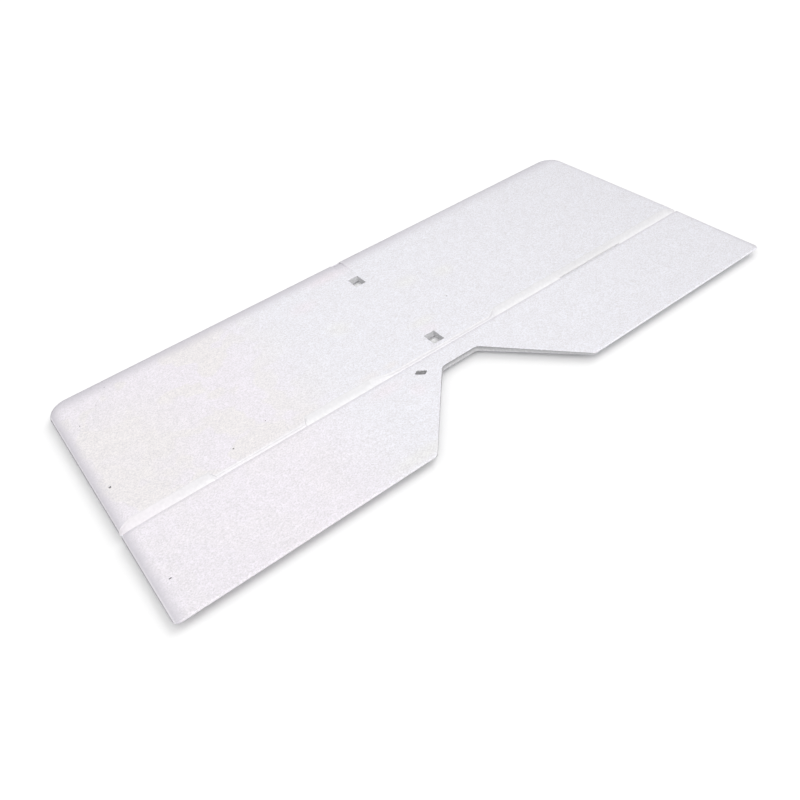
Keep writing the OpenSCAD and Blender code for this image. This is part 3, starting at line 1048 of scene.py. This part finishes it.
def elevator_side(side, node, paints):
    """One half of the elevator; side is -1 for the left and 1 for the right."""
    rows = elevator_rows()
    start, end = inner_edge(rows), outer_edge(rows)
    lead_in = np.array([0, 0.05, 0.14, 0.27, 0.46, 0.9])
    lead_out = tip_stations(TIP_DEPTH)[::-1]
    shares = np.concatenate([spread(0, 0.16, 0.0055)[1:], spread(0.16, 1, 0.0085)[1:-1]])
    columns = [start + d for d in lead_in]
    columns += [start + lead_in[-1] + s * (end - lead_out[0] - start - lead_in[-1]) for s in shares]
    columns += [end - d for d in lead_out]
    ax = np.stack(columns)
    x = side * ax
    y = np.tile(rows, (len(ax), 1))
    top, bottom = xyz(x, y, elevator_top(x, y)), xyz(x, y, elevator_bottom(x, y))
    for edge in (np.s_[-1, :], np.s_[:, -1]):
        level = (top[edge][..., 2] + bottom[edge][..., 2]) / 2
        top[edge][..., 2] = bottom[edge][..., 2] = level
    top[-1, :, 0] += side * FLASH
    bottom[-1, :, 0] += side * FLASH

    skin = Skin()
    t, b = skin.add(top), skin.add(bottom)
    keep = np.ones((len(ax) - 1, len(rows) - 1), bool)
    if side < 0:
        j0, j1 = (nearest(rows, v) for v in SLOT_BLOCK_Y)
        at = ax[:, nearest(rows, SLOT_CENTRE[1])]
        i0, i1 = (nearest(at + SLOT_CENTRE[0], v) for v in SLOT_BLOCK_X)
        keep[i0:i1, j0:j1] = False
        pierce_slot(skin, ((t, b), (top, bottom)), (elevator_top, elevator_bottom),
                    (i0, i1, j0, j1))
    skin.sheet(t, keep, face_paint(top))
    skin.sheet(b, keep)
    skin.band(t[0], b[0], WALL)
    skin.band(t[:, 0], b[:, 0])
    return skin.make(node + "_foam", paints, "elevator", node)


def elevator_bridge(paints):
    """The narrow strip between the halves, in front of the rudder notch."""
    xs = joined(spread(-BRIDGE_SIDE, BRIDGE_SIDE, 1.0), [-INNER_ARC[0], INNER_ARC[0]])
    reach = np.clip(np.abs(xs) - INNER_ARC[0], 0, None)
    rear = INNER_ARC[1] + arc_reach(reach, NOTCH_CORNER)
    at_rear = BRIDGE_REAR + np.array([0, 0.03, 0.08, 0.14, 0.22, 0.3, 0.45])
    rows = joined(ELEVATOR_FRONT - RIM_OFFSETS, JOINER.rows(), at_rear,
                  spread(ELEVATOR_FRONT - 0.8, BRIDGE_REAR + 0.6, 0.9))[::-1]
    y = np.tile(rows, (len(xs), 1))
    far = rows < BRIDGE_BLEND
    share = (rows[far] - BRIDGE_BLEND) / (BRIDGE_REAR - BRIDGE_BLEND)
    y[:, far] = BRIDGE_BLEND + (rear - BRIDGE_BLEND)[:, None] * share
    x = xs[:, None]
    skin = Skin()
    skin.slab(x, y, elevator_top(x, y), elevator_bottom(x, y), WALL)
    return skin.make("elevator_bridge_foam", paints, "elevator", "elevator_bridge")


# ---- hinge webs

# shares of a web's width from the stabiliser backwards, and its heights there; the first and the
# last height are for the parts sunk into the foam
WEB_SHARES = (0, 0.04, 0.1, 0.2, 0.35, 0.5, 0.65, 0.8, 0.88, 0.94, 0.98, 1)
WEB_HEIGHTS = (0.74, 0.84, 0.8, 0.75, 0.7, 0.66, 0.64, 0.66, 0.71, 0.78, 0.9, 1.08, 1.3, 1.3)


def hinge_web(node, seed, paint):
    """A thin flexible web, thicker where it meets the stabiliser and the elevator."""
    lo, hi = box_mm(node)
    outwards = TIP - max(abs(lo[0]), abs(hi[0])) < 0.01
    xs = spread(lo[0], hi[0], 1.3)
    if outwards:
        tip = TIP - tip_stations(TIP_DEPTH)
        xs = joined(xs[np.abs(xs) < TIP - TIP_DEPTH], math.copysign(1, lo[0]) * tip)
    width, sunk = WEB_FRONT - ELEVATOR_FRONT, 0.3
    share = np.array([-sunk / width, *WEB_SHARES, 1 + sunk / width])
    height = np.array(WEB_HEIGHTS)
    x, y = xs[:, None], WEB_FRONT - width * share
    high = height + 0.05 * ripple(x, y * 4, 9, seed)
    crease = 0.03 + 0.14 * np.exp(-((share - 0.5) / 0.12) ** 2)
    skirt = MID - MID * bulge(TIP - np.abs(x), TIP_DEPTH)
    low = np.maximum(crease, skirt)
    high = np.maximum(high, low + 0.25)
    skin = Skin()
    skin.slab(x, y, high, low)
    web = skin.make(node + "_film", [paint], node=node)
    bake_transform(web)
    return web


# ---- rods and glue


def rod(node, body, paint):
    """A pultruded rod with broken edges at its two cut ends."""
    lo, hi = box_mm(node)
    radius = (hi[2] - lo[2]) / 2
    _, cy, cz = (lo + hi) / 2
    chamfer = 0.12 * radius
    cut = np.array([0, chamfer / 2, chamfer])
    along = np.concatenate([lo[0] + cut, spread(lo[0] + 2, hi[0] - 2, 6), hi[0] - cut[::-1]])
    size = np.full(len(along), radius)
    size[[0, -1]], size[[1, -2]] = radius - chamfer, radius - 0.35 * chamfer
    turn = np.radians(np.arange(0, 361, 15))

    def rings(x, size):
        return xyz(x, cy + size * np.cos(turn), cz + size * np.sin(turn))

    skin = Skin()
    n = skin.add(rings(along[:, None], size[:, None]))
    skin.sheet(n)
    for end, x in ((0, lo[0]), (-1, hi[0])):
        inner = skin.add(rings(x, 0.5 * radius))
        centre = skin.add([[x, cy, cz]])[0]
        skin.band(n[end], inner)
        for k in range(len(turn) - 1):
            skin.face([inner[k], inner[k + 1], centre])
    return skin.make(node + "_rod", [paint], body, node)


def glue_beads(name, groove, body, places, seed, paint):
    """Beads of glue that fill the groove beside a rod, flush with the underside."""
    rng = np.random.default_rng(seed)
    skin = Skin()
    for place in places:
        long, turn = rng.uniform(5, 9), rng.uniform(0, 6)
        s = np.linspace(-1, 1, 25)[:, None]
        q = np.linspace(-1, 1, 11)
        width = groove.half * 0.98 * np.sqrt(np.clip(1 - s ** 6, 0.02, 1))
        x = place + long * s + 0.25 * np.sin(5 * q + turn) * (1 - s ** 2)
        y = groove.y + width * q
        sag = 0.06 * (1 - q ** 2) + 0.02 * np.sin(4 * s + turn)
        low = 0.07 + sag
        high = low + 0.5 * np.sqrt(np.clip(1 - s ** 4, 0, 1))
        skin.slab(x, y, high, low)
    return skin.make(name, [paint], body)


# ---- the scene

make_camera()
tail_set, floor_set = bpy.data.collections.new("tail"), bpy.data.collections.new("ground")
for group in (tail_set, floor_set):
    bpy.context.scene.collection.children.link(group)
make_studio(tail_set, floor_set)

foam, film, fibre, glue = foam_paint(), web_paint(), rod_paint(), glue_paint()
tip_fade = (-TIP, LIP, 2.0), (60.0, 20.0, 20.0), (0.74, 0.712, 0.735)
slit_fades = [((side * (SLIT_CENTRE + fade), LIP, 2.0), (fade, 20.0, 20.0), (0.72, 0.715, 0.725))
              for side, fade in ((-1, LEFT_FADE), (1, RIGHT_FADE))]
# the pressed and edge paints hold painted light: brighter low on the groove and lip faces, darker
# at their heads
foam_paints = [foam, pressed_lit_paint("foam_pressed_lit", (0.68, 0.675, 0.685), (0.78, 0.775, 0.78),
                                   fades=[tip_fade]),
               pressed_lit_paint("foam_edge", (0.78, 0.77, 0.785), (0.94, 0.93, 0.94), 3.0, 3.6, 0.004,
                             slit_fades),
               # painted shade: the hole, notch wall and slot paints are darker than the skin; the
               # last paint darkens the middles of the pits
               dark_foam_paint("foam_hole_shade", (0.58, 0.58, 0.59), (0.70, 0.695, 0.71)),
               dark_foam_paint("foam_wall_shade", (0.58, 0.58, 0.59), (0.74, 0.735, 0.75), 0.75),
               dark_foam_paint("foam_slot_shade", (0.36, 0.36, 0.365), (0.50, 0.495, 0.505)),
               dark_foam_paint("foam_pit", (0.05, 0.05, 0.05), (0.30, 0.30, 0.31))]
stabiliser_mesh(foam_paints)
elevator_side(-1, "elevator_left", foam_paints)
elevator_side(1, "elevator_right", foam_paints)
elevator_bridge(foam_paints)
for seed, place in enumerate(("outer_left", "inner_left", "inner_right", "outer_right")):
    hinge_web("hinge_web_" + place, 20 + seed, film)
rod("stabiliser_spar", "stabiliser", fibre)
rod("elevator_joiner", "elevator", fibre)
glue_beads("spar_glue", SPAR, "stabiliser", (-140, -100, -50, 2, 48, 97, 141), 31, glue)
glue_beads("joiner_glue", JOINER, "elevator", (-56, -28, 29, 57), 32, glue)
